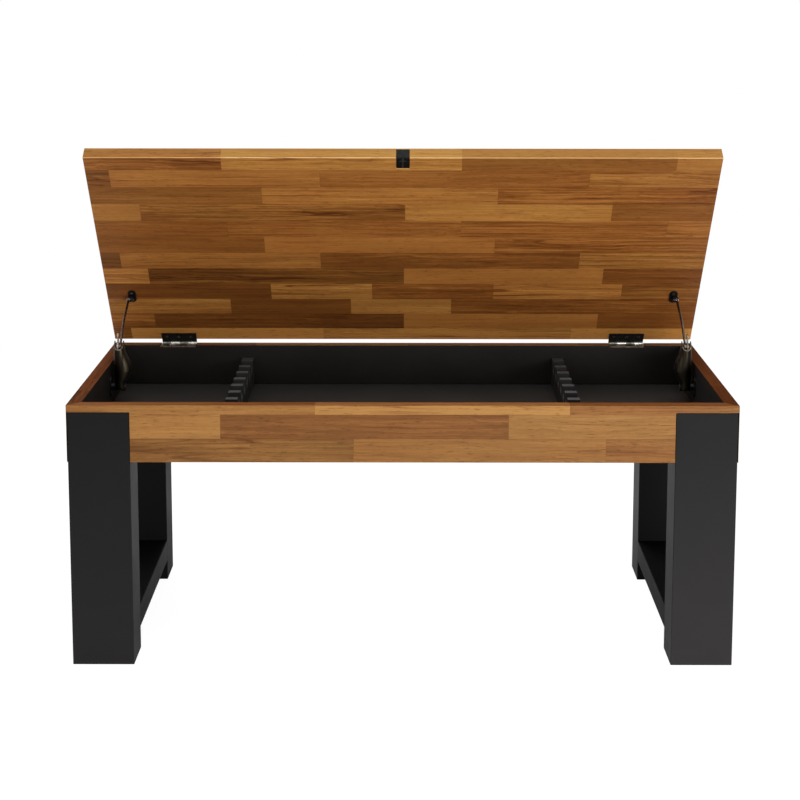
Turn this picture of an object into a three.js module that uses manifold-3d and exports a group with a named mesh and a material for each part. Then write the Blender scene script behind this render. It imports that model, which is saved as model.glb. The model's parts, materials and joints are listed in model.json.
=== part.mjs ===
// A monks bench: a shallow storage box on four legs, whose seat is a lid on two butt hinges.
// The lid stands open on a pair of elbow stays, and two notched racks lie on the box's floor.
// Millimetres. X runs along the bench, Y from front to rear, Z up. The origin is on the floor,
// under the middle of the open bench's bounding box.
import * as THREE from "three";
import { mergeVertices } from "three/addons/utils/BufferGeometryUtils.js";
import Module from "manifold-3d";

const wasm = await Module();
wasm.setup();

// Driving dimensions: the fits
const fitGap = 0.3;
const cutOverrun = 5;

// Driving dimensions: the box
const boxLength = 1067;
const boxDepth = 457;
const rimHeight = 430;
const boardThickness = 21;
const apronHeight = 93;
const interiorDepth = 74;
const floorThickness = 12;
const grooveDepth = 5;

// Driving dimensions: the legs and stretchers
const legWidth = 99;
const legDepth = 71;
const legInset = 1.2;
const lapThickness = 12;
const lapTopBelowRim = 12;
const legEdgeChamfer = 0.8;
const stretcherHeight = 38;
const stretcherAboveFloor = 36.3;
const tenonLength = 18;
const tenonWidth = 60;
const tenonThickness = 18;

// Driving dimensions: the racks
const rackThickness = 21;
const rackHeight = 50;
const rackFromEnd = 248.5;
const notchWidth = 31.4;
const notchDepth = 24;
const toothWidth = 15;
const rearToothWidth = 26;

// Driving dimensions: the lid and its front plate
const lidThickness = 24;
const lidRestGap = 0.4;
const lidRearInset = 4;
const lidEdgeEase = 1;
const openAngle = THREE.MathUtils.degToRad(53.66);
const plateWidth = 22;
const plateUnderLength = 24;
const plateEdgeHeight = 21.5;
const plateThickness = 1.5;
const plateCorner = 1.4;
const plateRibWidth = 3.2;
const plateRibHeight = 0.6;
const plateBeadWidth = 12;
const plateBeadFromEdge = 7;
const plateBeadLength = 2.2;

// Driving dimensions: the hinges
const hingeLength = 64;
const hingeFromEnd = 119.6;
const leafThickness = 1.6;
const leafGap = 0.5;
const lidLeafReach = 17.6;
const boxLeafCorner = 4;
const barrelRadius = 3.5;
const hingePinRadius = 1.5;
const knuckleCount = 4;
const knuckleGap = 0.5;
const screwHeadRadius = 3.3;
const screwShankRadius = 1.8;
const lidLeafScrewPitch = 22.5;
const lidLeafScrewFromEdge = 9.4;
const boxLeafScrewPitch = 31;
const boxLeafScrewFromRear = 10.5;

// Driving dimensions: the lid stays
const stayWallGap = 7;
const housingWidth = 17;
const housingWall = 1.8;
const housingFrontReach = 10.5;
const housingNoseDepth = 8.5;
const housingBulge = 27.5;
const housingBellySwell = 11;
const housingFootSwell = 2;
const housingBellyTaper = 0.5;
const housingFootTaper = 1.5;
const bellyRiseShare = 0.54;
const housingEarRise = 9;
const housingLipDrop = 4.5;
const housingMouthReach = 5.5;
const housingEyeRadius = 8;
const leafShares = {
  foot: [0.32, 0.2],
  side: [0.9, 0.42],
  belly: [1.08, 0.55],
  shoulder: [0.78, 0.72],
  ear: [0.34, 1],
};
const lowerPivotFromRear = 175.2;
const lowerPivotBelowRim = 39.2;
const elbowFromRear = 171.2;
const elbowAboveRim = 31.1;
const upperPivotFromHingeEdge = 118.6;
const upperPivotBelowLid = 8.7;
const rodRadius = 2.1;
const rodEyeRadius = 5;
const rodSideBend = 0.3;
const rodBow = 7;
const rodBowShare = 0.55;
const armThickness = 2.5;
const armEndRadius = 5.6;
const armTipRadius = 3;
const armTipReach = 23;
const slotTravel = 16.5;
const slotSideClearance = 1.3;
const elbowPinRadius = 2;
const pinHeadThickness = 0.9;
const pinHeadOverhang = 2;
const upperPinRadius = 2.2;
const lowerPinRadius = 2.6;
const bracketThickness = 2.2;
const bracketWidth = 16;
const bracketHeight = 36;
const bossRadius = 6;
const mountFromWall = 24;
const mountWidth = 14;
const mountLength = 29;
const mountThickness = 1.8;
const mountScrewPitch = 17;
const lugFaceFromWall = 21.2;
const lugThickness = 4;
const lugRadius = 4.6;

// Facets
const notchSegments = 14;
const barrelSegments = 24;
const holeSegments = 16;
const pinSegments = 18;
const rodSegments = 12;
const rodSteps = 14;
const housingStations = 8;
const noseSegments = 10;
const outlineSegments = 12;

// Places that follow from the driving dimensions
const halfLength = boxLength / 2;
const halfDepth = boxDepth / 2;
const innerHalfLength = halfLength - boardThickness;
const innerHalfDepth = halfDepth - boardThickness;
const apronBottom = rimHeight - apronHeight;
const floorTop = rimHeight - interiorDepth;
const floorBottom = floorTop - floorThickness;
const lapTop = rimHeight - lapTopBelowRim;
const legOuterX = halfLength - legInset;
const legInnerX = legOuterX - legWidth;
const legOuterY = halfDepth - legInset;
const legInnerY = legOuterY - legDepth;
const stretcherTop = stretcherAboveFloor + stretcherHeight;
const notchPitch = notchWidth + toothWidth;
const notchCount = Math.floor((2 * (innerHalfDepth - rearToothWidth) + toothWidth) / notchPitch);
const rackFromCentre = halfLength - rackFromEnd;
const hingeFromCentre = halfLength - hingeFromEnd;

const lidLength = boxLength;
const lidDepth = boxDepth;
const pinBehindRear = barrelRadius + fitGap;
const lidAbovePin = leafGap / 2 + leafThickness + fitGap;
const pinToLidEdge = pinBehindRear + lidRearInset;
const hingeY = halfDepth + pinBehindRear;
const hingeZ = rimHeight + lidRestGap - lidAbovePin;
const mortiseDepth = rimHeight - hingeZ + leafGap / 2 + leafThickness + fitGap;
const knucklePitch = hingeLength / knuckleCount;

const sides = [
  { name: "left", sign: -1 },
  { name: "right", sign: 1 },
];
const ends = [
  { name: "front", sign: -1 },
  { name: "rear", sign: 1 },
];

// Solids from three.js shapes, and three.js meshes from solids
function solid(geometry) {
  const bare = geometry.clone();
  bare.deleteAttribute("normal");
  bare.deleteAttribute("uv");
  const merged = mergeVertices(bare);
  const vertProperties = new Float32Array(merged.attributes.position.array);
  const triVerts = new Uint32Array(merged.index.array);
  return new wasm.Manifold(new wasm.Mesh({ numProp: 3, vertProperties, triVerts }));
}

function geometryOf(body) {
  const mesh = body.getMesh();
  const geometry = new THREE.BufferGeometry();
  geometry.setAttribute("position", new THREE.BufferAttribute(mesh.vertProperties, 3));
  geometry.setIndex(new THREE.BufferAttribute(mesh.triVerts, 1));
  const faceted = geometry.toNonIndexed();
  faceted.computeVertexNormals();
  return faceted;
}

function block(xs, ys, zs) {
  const spans = [xs, ys, zs];
  const geometry = new THREE.BoxGeometry(...spans.map(([a, b]) => Math.abs(b - a)));
  geometry.translate(...spans.map(([a, b]) => (a + b) / 2));
  return solid(geometry);
}

function extruded(shape, from, to, basis, segments = outlineSegments) {
  const depth = Math.abs(to - from);
  const options = { depth, bevelEnabled: false, curveSegments: segments };
  const geometry = new THREE.ExtrudeGeometry(shape, options);
  geometry.translate(0, 0, Math.min(from, to));
  return solid(geometry.applyMatrix4(basis));
}

const axisX = new THREE.Vector3(1, 0, 0);
const axisY = new THREE.Vector3(0, 1, 0);
const axisZ = new THREE.Vector3(0, 0, 1);
const sideways = new THREE.Matrix4().makeBasis(axisY, axisZ, axisX);
const upright = new THREE.Matrix4();

// A shape drawn in Y and Z, carried along X
const alongX = (shape, from, to, segments) => extruded(shape, from, to, sideways, segments);
// A shape drawn in X and Y, carried along Z
const alongZ = (shape, from, to, segments) => extruded(shape, from, to, upright, segments);

// Convex sections, each with as many points and drawn counterclockwise, joined from the lowest up
function lofted(sections) {
  const count = sections[0].length;
  const index = [];
  for (let i = 1; i < sections.length; i += 1) {
    for (let k = 0; k < count; k += 1) {
      const [a, b] = [(i - 1) * count + k, (i - 1) * count + ((k + 1) % count)];
      index.push(a, b, b + count, a, b + count, a + count);
    }
  }
  const last = (sections.length - 1) * count;
  for (let k = 1; k < count - 1; k += 1) {
    index.push(0, k + 1, k, last, last + k, last + k + 1);
  }
  const geometry = new THREE.BufferGeometry().setFromPoints(sections.flat());
  geometry.setIndex(index);
  return solid(geometry);
}

function barX(radius, from, to, y, z, segments) {
  const geometry = new THREE.CylinderGeometry(radius, radius, Math.abs(to - from), segments);
  geometry.rotateZ(Math.PI / 2);
  geometry.translate((from + to) / 2, y, z);
  return solid(geometry);
}

function polygon(points) {
  return new THREE.Shape(points.map(([x, y]) => new THREE.Vector2(x, y)));
}

// A slot-shaped outline: two round ends of given radius, with centres at two points on a vertical line
function stadium(radius, x, low, high) {
  const shape = new THREE.Shape();
  shape.absarc(x, high, radius, 0, Math.PI, false);
  shape.absarc(x, low, radius, Math.PI, Math.PI * 2, false);
  shape.closePath();
  return shape;
}

const finishes = {
  wood: { color: 0xb07a3c, roughness: 0.55, metalness: 0 },
  blackPaint: { color: 0x252526, roughness: 0.5, metalness: 0 },
  floorPaint: { color: 0x2b2b2c, roughness: 0.6, metalness: 0 },
  bronze: { color: 0x4a443c, roughness: 0.4, metalness: 0.9 },
  brass: { color: 0xa89468, roughness: 0.35, metalness: 0.9 },
  nickel: { color: 0xbab8b2, roughness: 0.25, metalness: 1 },
  blackSteel: { color: 0x1c1c1d, roughness: 0.4, metalness: 0.6 },
};

function piece(parent, name, body, finish) {
  const mesh = new THREE.Mesh(geometryOf(body), new THREE.MeshStandardMaterial(finishes[finish]));
  mesh.name = name;
  parent.add(mesh);
}

// The recess for a leg's lap, seen at one corner. On the apron it runs out through the mitre; on the side
// board it stops short of the outer face and leaves a thin lip.
function lapRecess(side, end, outerX) {
  const xs = [side * (legInnerX - fitGap), side * outerX];
  const ys = [end * (halfDepth + cutOverrun), end * (legOuterY - lapThickness - fitGap)];
  return block(xs, ys, [apronBottom - cutOverrun, lapTop + fitGap]);
}

// One cut for the four grooves that hold the floor panel
function floorGrooves() {
  const x = innerHalfLength + grooveDepth;
  const y = innerHalfDepth + grooveDepth;
  return block([-x, x], [-y, y], [floorBottom - fitGap, floorTop + fitGap]);
}

// The long boards, mitred at both ends
function apron(end) {
  const setback = fitGap * Math.SQRT1_2;
  const outerX = halfLength - setback;
  const innerX = innerHalfLength - setback;
  const outline = [
    [-outerX, end * halfDepth],
    [outerX, end * halfDepth],
    [innerX, end * innerHalfDepth],
    [-innerX, end * innerHalfDepth],
  ];
  if (end > 0) outline.reverse();
  let board = alongZ(polygon(outline), apronBottom, rimHeight).subtract(floorGrooves());
  for (const side of sides) {
    board = board.subtract(lapRecess(side.sign, end, halfLength + cutOverrun));
    if (end > 0) board = board.subtract(hingeMortise(side.sign));
  }
  return board;
}

// The short boards, mitred to the aprons
function sideBoard(side) {
  const setback = fitGap * Math.SQRT1_2;
  const outerY = halfDepth - setback;
  const innerY = innerHalfDepth - setback;
  const outline = [
    [side * halfLength, -outerY],
    [side * halfLength, outerY],
    [side * innerHalfLength, innerY],
    [side * innerHalfLength, -innerY],
  ];
  if (side < 0) outline.reverse();
  let board = alongZ(polygon(outline), apronBottom, rimHeight).subtract(floorGrooves());
  for (const end of ends) board = board.subtract(lapRecess(side, end.sign, legOuterX + fitGap));
  return board;
}

function floorPanel() {
  const x = innerHalfLength + grooveDepth - fitGap;
  const y = innerHalfDepth + grooveDepth - fitGap;
  return block([-x, x], [-y, y], [floorBottom, floorTop]);
}

// The front and rear legs are alike: a post under the box, with a lap on its outer face that rises into
// the apron, and a mortise for the stretcher's tenon
function leg(side, end) {
  const c = legEdgeChamfer;
  const [x0, x1] = [legInnerX, legOuterX];
  const [y0, y1] = [legInnerY, legOuterY];
  const corners = [
    [x0 + c, y0],
    [x1 - c, y0],
    [x1, y0 + c],
    [x1, y1 - c],
    [x1 - c, y1],
    [x0 + c, y1],
    [x0, y1 - c],
    [x0, y0 + c],
  ].map(([x, y]) => [side * x, end * y]);
  if (side * end < 0) corners.reverse();
  const post = alongZ(polygon(corners), 0, lapTop);
  const lapInnerY = legOuterY - lapThickness;
  const aboveBody = block(
    [side * (x0 - cutOverrun), side * (x1 + cutOverrun)],
    [end * lapInnerY, end * (y0 - cutOverrun)],
    [apronBottom - fitGap, lapTop + cutOverrun],
  );
  return post.subtract(aboveBody).subtract(tenon(side, end, fitGap));
}

// A stretcher's tenon, or with a clearance the mortise that takes it
function tenon(side, end, clearance) {
  const centreX = (legInnerX + legOuterX) / 2;
  const centreZ = (stretcherAboveFloor + stretcherTop) / 2;
  const halfWidth = tenonWidth / 2 + clearance;
  const halfHeight = tenonThickness / 2 + clearance;
  const root = legInnerY - cutOverrun;
  const tip = legInnerY + tenonLength + clearance;
  return block(
    [side * (centreX - halfWidth), side * (centreX + halfWidth)],
    [end * root, end * tip],
    [centreZ - halfHeight, centreZ + halfHeight],
  );
}

function stretcher(side) {
  const y = legInnerY - fitGap;
  const c = legEdgeChamfer;
  const [x0, x1] = [side * legInnerX, side * legOuterX].sort((a, b) => a - b);
  const [z0, z1] = [stretcherAboveFloor, stretcherTop];
  const rail = block([x0, x1], [-y, y], [z0, z1 - c]);
  const top = block([x0 + c, x1 - c], [-y, y], [z0 + c, z1]);
  return rail.add(top).add(tenon(side, 1, 0)).add(tenon(side, -1, 0));
}

// A notched rack, drawn from the side and as thick as it is along the bench
function rack(side) {
  const rear = innerHalfDepth - fitGap;
  const bottom = floorTop + fitGap;
  const top = floorTop + rackHeight;
  const radius = notchWidth / 2;
  const springLine = top - notchDepth + radius;
  const outline = new THREE.Shape();
  outline.moveTo(-rear, bottom);
  outline.lineTo(rear, bottom);
  outline.lineTo(rear, top);
  for (let i = 0; i < notchCount; i += 1) {
    const centre = innerHalfDepth - rearToothWidth - radius - i * notchPitch;
    outline.lineTo(centre + radius, top);
    outline.absarc(centre, springLine, radius, 0, Math.PI, true);
    outline.lineTo(centre - radius, top);
  }
  outline.lineTo(-rear, top);
  outline.closePath();
  const centreX = side * rackFromCentre;
  return alongX(outline, centreX - rackThickness / 2, centreX + rackThickness / 2, notchSegments);
}

// The lid, in its own frame: the origin is on the hinge pins' axis and the lid lies closed
function lidPanel() {
  const e = lidEdgeEase;
  const [y0, y1] = [-pinToLidEdge - lidDepth, -pinToLidEdge];
  const [z0, z1] = [lidAbovePin, lidAbovePin + lidThickness];
  const outline = polygon([
    [y0 + e, z0],
    [y1 - e, z0],
    [y1, z0 + e],
    [y1, z1 - e],
    [y1 - e, z1],
    [y0 + e, z1],
    [y0, z1 - e],
    [y0, z0 + e],
  ]);
  return alongX(outline, -lidLength / 2, lidLength / 2).subtract(frontPlateBody(fitGap));
}

// The bent plate in the lid's front edge, or with a clearance the recess that takes it
function frontPlateBody(clearance) {
  const front = -pinToLidEdge - lidDepth;
  const bottom = lidAbovePin;
  const skin = clearance > 0 ? -cutOverrun : plateRibHeight;
  const inner = plateRibHeight + plateThickness + clearance;
  const rear = front + plateUnderLength + clearance;
  const top = bottom + plateEdgeHeight + clearance;
  const bend = clearance > 0 ? 0 : plateCorner;
  const outline = polygon([
    [front + skin, bottom + skin + bend],
    [front + skin + bend, bottom + skin],
    [rear, bottom + skin],
    [rear, bottom + inner],
    [front + inner, bottom + inner],
    [front + inner, top],
    [front + skin, top],
  ]);
  const half = plateWidth / 2 + clearance;
  return alongX(outline, -half, half);
}

function frontPlate() {
  const front = -pinToLidEdge - lidDepth;
  const bottom = lidAbovePin;
  const r = plateRibHeight;
  const c = plateCorner;
  const ribOutline = polygon([
    [front, bottom + r + c],
    [front + r + c, bottom],
    [front + plateUnderLength - c, bottom],
    [front + plateUnderLength - c, bottom + r + plateThickness],
    [front + r + plateThickness, bottom + r + plateThickness],
    [front + r + plateThickness, bottom + plateEdgeHeight - c],
    [front, bottom + plateEdgeHeight - c],
  ]);
  const rib = alongX(ribOutline, -plateRibWidth / 2, plateRibWidth / 2);
  const beadFront = front + plateBeadFromEdge;
  const bead = block(
    [-plateBeadWidth / 2, plateBeadWidth / 2],
    [beadFront, beadFront + plateBeadLength],
    [bottom, bottom + r + plateThickness / 2],
  );
  return frontPlateBody(0).add(rib).add(bead);
}

// The hinges. Each frame has its origin on the pin's axis, at the middle of the hinge.
function knuckleSpan(index, clearance) {
  const start = -hingeLength / 2 + index * knucklePitch;
  return [start - clearance, start + knucklePitch + clearance];
}

// A countersunk hole, from its small end at zBack to its wide end at zFace
function countersink(x, y, zFace, zBack) {
  const depth = Math.abs(zFace - zBack);
  const profile = [
    [0, -cutOverrun],
    [screwShankRadius, -cutOverrun],
    [screwShankRadius, 0],
    [screwHeadRadius, depth],
    [screwHeadRadius, depth + cutOverrun],
    [0, depth + cutOverrun],
  ].map(([radius, height]) => new THREE.Vector2(radius, height));
  const geometry = new THREE.LatheGeometry(profile, holeSegments);
  geometry.rotateX((Math.sign(zFace - zBack) * Math.PI) / 2);
  geometry.translate(x, y, zBack);
  return solid(geometry);
}

function hingeLeaf(outline, zs, own, screws, faceUp) {
  let leaf = alongZ(outline, zs[0], zs[1]);
  for (let i = 0; i < knuckleCount; i += 1) {
    if (i % 2 === own) {
      const [from, to] = knuckleSpan(i, -knuckleGap / 2);
      leaf = leaf.add(barX(barrelRadius, from, to, 0, 0, barrelSegments));
    } else {
      const reach = barrelRadius + fitGap;
      const height = barrelRadius + cutOverrun;
      leaf = leaf.subtract(block(knuckleSpan(i, knuckleGap / 2), [-reach, reach], [-height, height]));
    }
  }
  const half = hingeLength / 2 + cutOverrun;
  leaf = leaf.subtract(barX(hingePinRadius + fitGap, -half, half, 0, 0, pinSegments));
  for (const [x, y] of screws) {
    const [face, back] = faceUp ? [zs[1], zs[0]] : zs;
    leaf = leaf.subtract(countersink(x, y, face, back));
  }
  return leaf;
}

function boxLeaf() {
  const half = hingeLength / 2;
  const front = -pinBehindRear - boardThickness;
  const r = boxLeafCorner;
  const outline = new THREE.Shape();
  outline.moveTo(half, 0);
  outline.lineTo(-half, 0);
  outline.lineTo(-half, front + r);
  outline.absarc(-half + r, front + r, r, Math.PI, Math.PI * 1.5, false);
  outline.absarc(half - r, front + r, r, Math.PI * 1.5, Math.PI * 2, false);
  outline.closePath();
  const y = -pinBehindRear - boxLeafScrewFromRear;
  const screws = [-boxLeafScrewPitch / 2, boxLeafScrewPitch / 2].map((x) => [x, y]);
  return hingeLeaf(outline, [-leafGap / 2 - leafThickness, -leafGap / 2], 1, screws, true);
}

function lidLeaf() {
  const half = hingeLength / 2;
  const front = -pinToLidEdge - lidLeafReach;
  const outline = polygon([
    [-half, front],
    [half, front],
    [half, 0],
    [-half, 0],
  ]);
  const y = -pinToLidEdge - lidLeafScrewFromEdge;
  const screws = [-lidLeafScrewPitch, 0, lidLeafScrewPitch].map((x) => [x, y]);
  return hingeLeaf(outline, [leafGap / 2, leafGap / 2 + leafThickness], 0, screws, false);
}

function hingePin() {
  return barX(hingePinRadius, -hingeLength / 2, hingeLength / 2, 0, 0, pinSegments);
}

function hingeMortise(side) {
  const half = hingeLength / 2 + fitGap;
  const x = side * hingeFromCentre;
  const ys = [innerHalfDepth - cutOverrun, halfDepth + cutOverrun];
  return block([x - half, x + half], ys, [rimHeight - mortiseDepth, rimHeight + cutOverrun]);
}

// The lid stays. X positions are given for the right side and change sign on the left.
const housingOuterX = innerHalfLength - stayWallGap;
const housingInnerX = housingOuterX - housingWidth;
const housingCentreX = (housingOuterX + housingInnerX) / 2;
const footInnerX = housingInnerX - housingFootSwell;
const footOuterX = housingOuterX - housingFootTaper;
const bellyInnerX = housingInnerX - housingBellySwell;
const bellyOuterX = housingOuterX - housingBellyTaper;
const armInnerX = housingCentreX;
const armOuterX = armInnerX + armThickness;
const headInnerX = armOuterX + fitGap;
const rodLowerX = armInnerX - fitGap - rodRadius;
const lugOuterX = innerHalfLength - lugFaceFromWall;
const rodUpperX = lugOuterX + fitGap + rodRadius;

const lowerPivot = new THREE.Vector2(halfDepth - lowerPivotFromRear, rimHeight - lowerPivotBelowRim);
const elbow = new THREE.Vector2(halfDepth - elbowFromRear, rimHeight + elbowAboveRim);
const armLength = lowerPivot.distanceTo(elbow);
const armLean = Math.atan2(elbow.x - lowerPivot.x, elbow.y - lowerPivot.y);
const upperInLid = new THREE.Vector2(
  -pinToLidEdge - upperPivotFromHingeEdge,
  lidAbovePin - upperPivotBelowLid,
);
const upperPivot = upperInLid.clone().rotateAround(new THREE.Vector2(), -openAngle);
upperPivot.add(new THREE.Vector2(hingeY, hingeZ));

// The channel that covers the arm, in a frame with its origin on the lower pivot and Z along the arm.
// Its front is rounded, its rear is open, and its sides bulge rearwards like a leaf.
function stayHousing(side) {
  const eye = housingEyeRadius;
  const mouth = armLength;
  const earTop = mouth + housingEarRise;
  const place = ([reach, rise]) => [reach * housingBulge, rise * mouth];
  const outline = new THREE.Shape();
  outline.moveTo(-housingFrontReach, 0);
  outline.quadraticCurveTo(-housingFrontReach, -eye, 0, -eye);
  outline.absarc(0, 0, eye, Math.PI * 1.5, Math.PI * 2, false);
  outline.quadraticCurveTo(...place(leafShares.foot), ...place(leafShares.side));
  outline.quadraticCurveTo(...place(leafShares.belly), ...place(leafShares.shoulder));
  outline.quadraticCurveTo(...place(leafShares.ear), housingMouthReach, earTop);
  outline.lineTo(-housingFrontReach, mouth - housingLipDrop);
  outline.closePath();
  const low = -eye - cutOverrun;
  const body = alongX(outline, ...acrossStay(side));
  const shell = body.intersect(channel(side, 0, low, earTop + cutOverrun));
  const hollow = channel(side, housingWall, low - cutOverrun, earTop + cutOverrun * 2);
  const bore = barX(lowerPinRadius + fitGap, ...acrossStay(side), 0, 0, pinSegments);
  return shell.subtract(hollow).subtract(bore);
}

// The housing's inboard and wallward sides at a height on the arm: straight round the foot, swollen at the
// belly and drawn in again at the mouth
function housingSides(height) {
  const { lerp, smoothstep } = THREE.MathUtils;
  const bellyHeight = bellyRiseShare * armLength;
  const swelling = smoothstep(height, housingEyeRadius, bellyHeight);
  const closing = smoothstep(height, bellyHeight, armLength);
  const between = (foot, belly, mouth) => lerp(lerp(foot, belly, swelling), mouth, closing);
  return [
    between(footInnerX, bellyInnerX, housingInnerX),
    between(footOuterX, bellyOuterX, housingOuterX),
  ];
}

// The housing's sections joined along the arm: round at the front, running out at the open rear
function channel(side, inset, low, high) {
  const noseY = housingNoseDepth - housingFrontReach;
  const back = housingBulge + cutOverrun;
  const sections = [];
  for (let i = 0; i <= housingStations; i += 1) {
    const height = THREE.MathUtils.lerp(low, high, i / housingStations);
    const [innerX, outerX] = housingSides(height);
    const x = (side * (innerX + outerX)) / 2;
    const radius = (outerX - innerX) / 2 - inset;
    const section = new THREE.Shape();
    section.absellipse(x, noseY, radius, housingNoseDepth - inset, Math.PI, Math.PI * 2, false);
    section.lineTo(x + radius, back);
    section.lineTo(x - radius, back);
    sections.push(section.getPoints(noseSegments).map((p) => new THREE.Vector3(p.x, p.y, height)));
  }
  return lofted(sections);
}

// The X range that passes through everything in a stay
function acrossStay(side) {
  return [side * (bellyInnerX - cutOverrun), side * (innerHalfLength + cutOverrun)];
}

// The plated arm inside the housing, with the slot in which the elbow pin runs
function stayArm(side) {
  const wide = stadium(armEndRadius, 0, 0, armLength + elbowPinRadius);
  const tip = stadium(armTipRadius, 0, armLength, armLength + armTipReach - armTipRadius);
  const slot = stadium(elbowPinRadius + slotSideClearance, 0, armLength - slotTravel, armLength);
  const through = [side * (armInnerX - cutOverrun), side * (armOuterX + cutOverrun)];
  const bar = alongX(wide, side * armInnerX, side * armOuterX).add(
    alongX(tip, side * armInnerX, side * armOuterX),
  );
  const bore = barX(lowerPinRadius + fitGap, ...acrossStay(side), 0, 0, pinSegments);
  return bar.subtract(alongX(slot, ...through)).subtract(bore);
}

// The rod, bowed forwards and up and a little outwards, with an eye at each end
function stayRod(side) {
  const start = new THREE.Vector3(side * rodUpperX, upperPivot.x, upperPivot.y);
  const finish = new THREE.Vector3(side * rodLowerX, elbow.x, elbow.y);
  const along = finish.clone().sub(start).normalize();
  const middle = start.clone().lerp(finish, rodBowShare);
  middle.add(new THREE.Vector3(side * rodSideBend, along.z * rodBow, -along.y * rodBow));
  const path = new THREE.CatmullRomCurve3([start, middle, finish]);
  const section = new THREE.Shape();
  section.absarc(0, 0, rodRadius, 0, Math.PI * 2, false);
  const options = { steps: rodSteps, extrudePath: path, bevelEnabled: false, curveSegments: rodSegments };
  let rod = solid(new THREE.ExtrudeGeometry(section, options));
  for (const end of [start, finish]) {
    rod = rod.add(barX(rodEyeRadius, end.x - rodRadius, end.x + rodRadius, end.y, end.z, barrelSegments));
  }
  for (const [end, pinRadius] of [
    [start, upperPinRadius],
    [finish, elbowPinRadius],
  ]) {
    const half = rodRadius + cutOverrun;
    rod = rod.subtract(barX(pinRadius + fitGap, end.x - half, end.x + half, end.y, end.z, pinSegments));
  }
  return rod;
}

// A headed pin: the shank runs from its tip to the head, and the head lies beyond it
function headedPin(side, radius, tip, headFace, headEnd, y, z) {
  const shank = barX(radius, side * tip, side * headEnd, y, z, pinSegments);
  const head = barX(radius + pinHeadOverhang, side * headFace, side * headEnd, y, z, pinSegments);
  return shank.add(head);
}

function elbowPin(side) {
  const tip = rodLowerX - rodRadius - fitGap;
  return headedPin(side, elbowPinRadius, tip, headInnerX, headInnerX + pinHeadThickness, elbow.x, elbow.y);
}

function upperPin(side) {
  const face = rodUpperX + rodRadius + fitGap;
  const tip = lugOuterX - lugThickness;
  const end = face + pinHeadThickness;
  return headedPin(side, upperPinRadius, tip, face, end, upperInLid.x, upperInLid.y);
}

function lowerPin(side) {
  const face = footInnerX - fitGap;
  const tip = innerHalfLength - fitGap;
  return headedPin(side, lowerPinRadius, tip, face, face - pinHeadThickness, lowerPivot.x, lowerPivot.y);
}

// The bracket on the box's side: a plate with a boss that carries the lower pivot pin
function wallBracket(side) {
  const { x: y, y: z } = lowerPivot;
  const reach = (bracketHeight - bracketWidth) / 2;
  const plateFace = innerHalfLength - fitGap - bracketThickness;
  const outline = stadium(bracketWidth / 2, y, z - reach, z + reach);
  const plate = alongX(outline, side * plateFace, side * (innerHalfLength - fitGap));
  const [bossEnd, bossRoot] = [side * (footOuterX + fitGap), side * (plateFace + fitGap)];
  const boss = barX(bossRadius, bossEnd, bossRoot, y, z, barrelSegments);
  return plate.add(boss).subtract(barX(lowerPinRadius + fitGap, ...acrossStay(side), y, z, pinSegments));
}

// The mount on the lid's underside, in the lid's frame: an oval plate with a lug for the upper pivot pin
function lidMount(side) {
  const x = side * (innerHalfLength - mountFromWall);
  const { x: y, y: z } = upperInLid;
  const reach = (mountLength - mountWidth) / 2;
  const plateTop = lidAbovePin - fitGap;
  const outline = stadium(mountWidth / 2, x, y - reach, y + reach);
  const plate = alongZ(outline, plateTop - mountThickness, plateTop);
  const lug = alongX(
    stadium(lugRadius, y, z, plateTop - lugRadius),
    side * lugOuterX,
    side * (lugOuterX - lugThickness),
  );
  let mount = plate.add(lug);
  for (const place of [y - mountScrewPitch / 2, y + mountScrewPitch / 2]) {
    mount = mount.subtract(countersink(x, place, plateTop - mountThickness, plateTop));
  }
  return mount.subtract(barX(upperPinRadius + fitGap, ...acrossStay(side), y, z, pinSegments));
}

// The assembly
const bench = new THREE.Group();
const box = new THREE.Group();
bench.add(box);

// The open lid's rear top edge reaches furthest back, and the apron furthest forward
const lidRearTop = new THREE.Vector2(-pinToLidEdge, lidAbovePin + lidThickness - lidEdgeEase);
const lidRearEase = new THREE.Vector2(-pinToLidEdge - lidEdgeEase, lidAbovePin + lidThickness);
const reaches = [lidRearTop, lidRearEase].map((p) => p.rotateAround(new THREE.Vector2(), -openAngle).x);
const rearReach = hingeY + Math.max(...reaches);
box.position.y = (halfDepth - rearReach) / 2;

const lid = new THREE.Group();
lid.position.set(0, hingeY, hingeZ);
lid.rotation.x = -openAngle;
box.add(lid);

for (const end of ends) {
  piece(box, `${end.name}_apron`, apron(end.sign), "wood");
}
piece(box, "floor_panel", floorPanel(), "floorPaint");
piece(lid, "lid_panel", lidPanel(), "wood");
piece(lid, "lid_front_plate", frontPlate(), "bronze");

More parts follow.
